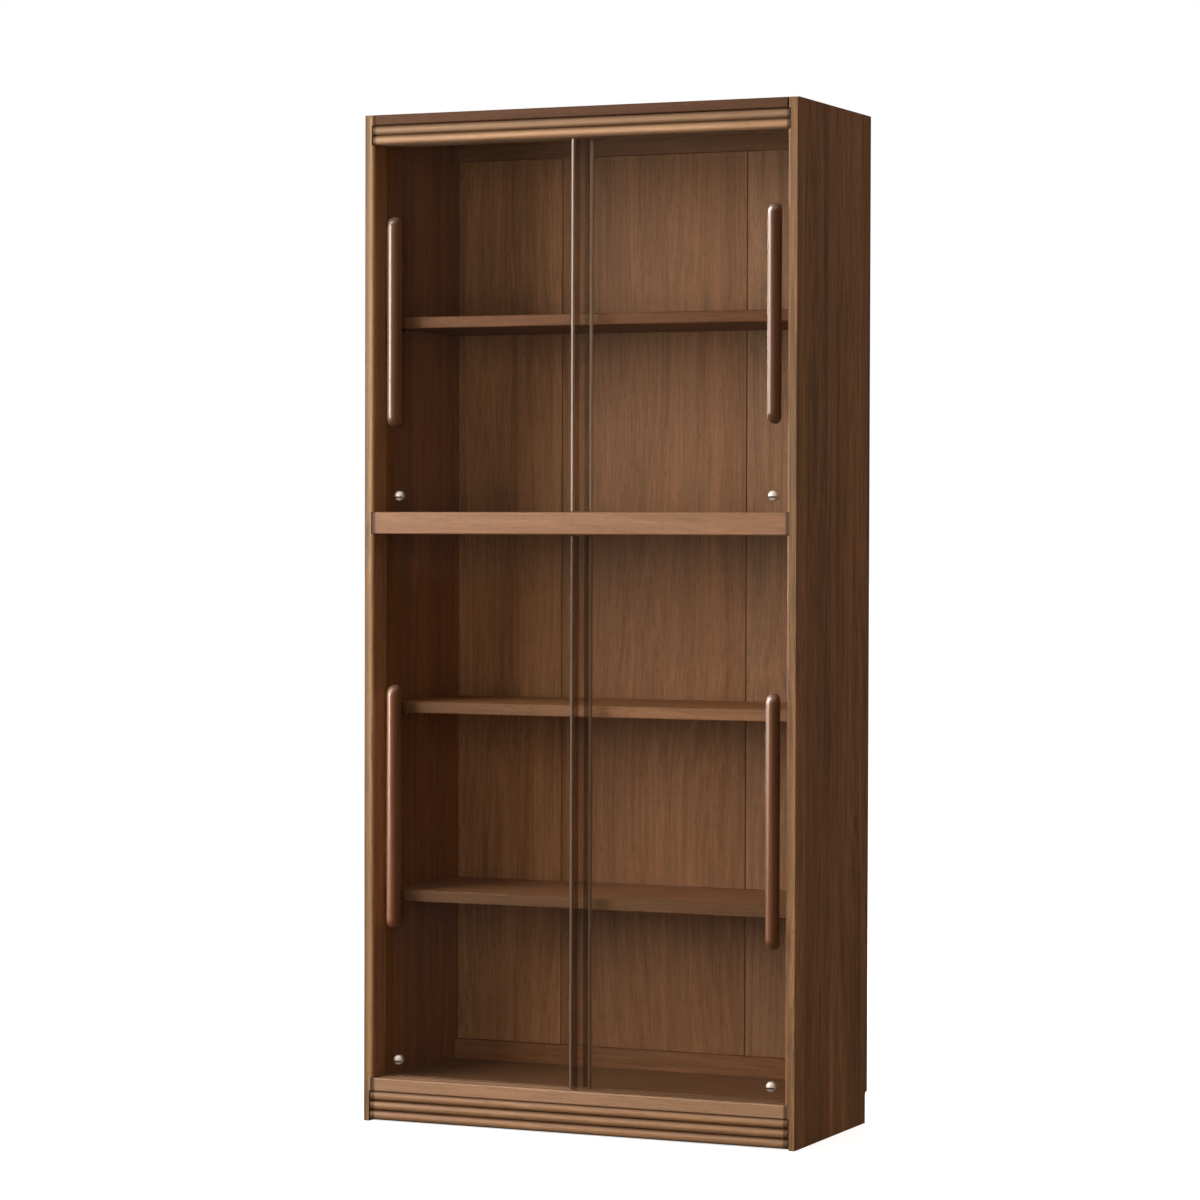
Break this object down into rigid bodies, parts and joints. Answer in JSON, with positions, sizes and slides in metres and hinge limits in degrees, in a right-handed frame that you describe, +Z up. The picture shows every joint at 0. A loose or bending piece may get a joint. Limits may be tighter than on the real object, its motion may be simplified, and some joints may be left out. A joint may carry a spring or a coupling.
{
  "type": "bookcase with sliding doors",
  "caption": "Tall wooden bookcase with reeded head and plinth, a middle rail, loose shelves on pins, and glass doors that slide in two tracks above and below the rail.",
  "frame": {"origin": "on the floor, at the middle of the overall outline seen from above", "axes": "+Z up, +X to the right of someone facing the doors, +Y towards the back"},
  "size_m": [0.8, 0.363, 1.74],
  "materials": {
    "carcass_wood": "walnut-stained, satin lacquer",
    "moulding_wood": "walnut-stained, satin lacquer",
    "inside_wood": "walnut-stained, satin lacquer",
    "shelf_wood": "walnut-stained, satin lacquer",
    "back_wood": "stained ply, matt",
    "handle_wood": "reddish brown, gloss lacquer",
    "door_glass": "polished",
    "edge_strip": "clear, smooth",
    "track_liner": "dark brown, smooth",
    "pin_steel": "zinc-plated",
    "screw_steel": "zinc-plated",
    "button": "polished"
  },
  "bodies": {
    "carcass": {"left_side_panel": "carcass_wood", "right_side_panel": "carcass_wood", "top_board": "carcass_wood", "middle_board": "inside_wood", "bottom_board": "inside_wood", "head_rail": "moulding_wood", "middle_rail": "moulding_wood", "bottom_rail": "moulding_wood", "plinth": "moulding_wood", "left_back_board": "back_wood", "centre_back_board": "back_wood", "right_back_board": "back_wood", "top_back_batten": "back_wood", "bottom_back_batten": "back_wood", "upper_shelf": "shelf_wood", "upper_shelf_pin_left_front": "pin_steel", "upper_shelf_pin_right_front": "pin_steel", "upper_shelf_pin_left_back": "pin_steel", "upper_shelf_pin_right_back": "pin_steel", "middle_shelf": "shelf_wood", "middle_shelf_pin_left_front": "pin_steel", "middle_shelf_pin_right_front": "pin_steel", "middle_shelf_pin_left_back": "pin_steel", "middle_shelf_pin_right_back": "pin_steel", "lower_shelf": "shelf_wood", "lower_shelf_pin_left_front": "pin_steel", "lower_shelf_pin_right_front": "pin_steel", "lower_shelf_pin_left_back": "pin_steel", "lower_shelf_pin_right_back": "pin_steel", "upper_front_track_liner": "track_liner", "upper_rear_track_liner": "track_liner", "lower_front_track_liner": "track_liner", "lower_rear_track_liner": "track_liner"},
    "upper_left_door": {"upper_left_pane": "door_glass", "upper_left_handle": "handle_wood", "upper_left_edge_strip": "edge_strip", "upper_left_button": "button", "upper_left_handle_screw_low": "screw_steel", "upper_left_handle_screw_high": "screw_steel"},
    "upper_right_door": {"upper_right_pane": "door_glass", "upper_right_handle": "handle_wood", "upper_right_edge_strip": "edge_strip", "upper_right_button": "button", "upper_right_handle_screw_low": "screw_steel", "upper_right_handle_screw_high": "screw_steel"},
    "lower_left_door": {"lower_left_pane": "door_glass", "lower_left_handle": "handle_wood", "lower_left_edge_strip": "edge_strip", "lower_left_button": "button", "lower_left_handle_screw_low": "screw_steel", "lower_left_handle_screw_high": "screw_steel"},
    "lower_right_door": {"lower_right_pane": "door_glass", "lower_right_handle": "handle_wood", "lower_right_edge_strip": "edge_strip", "lower_right_button": "button", "lower_right_handle_screw_low": "screw_steel", "lower_right_handle_screw_high": "screw_steel"}
  },
  "joints": [
    {"name": "upper_left_slide", "type": "slide", "parent": "carcass", "child": "upper_left_door", "axis": [1, 0, 0], "range_m": [0, 0.367]},
    {"name": "upper_right_slide", "type": "slide", "parent": "carcass", "child": "upper_right_door", "axis": [-1, 0, 0], "range_m": [0, 0.367]},
    {"name": "lower_left_slide", "type": "slide", "parent": "carcass", "child": "lower_left_door", "axis": [1, 0, 0], "range_m": [0, 0.367]},
    {"name": "lower_right_slide", "type": "slide", "parent": "carcass", "child": "lower_right_door", "axis": [-1, 0, 0], "range_m": [0, 0.367]}
  ]
}
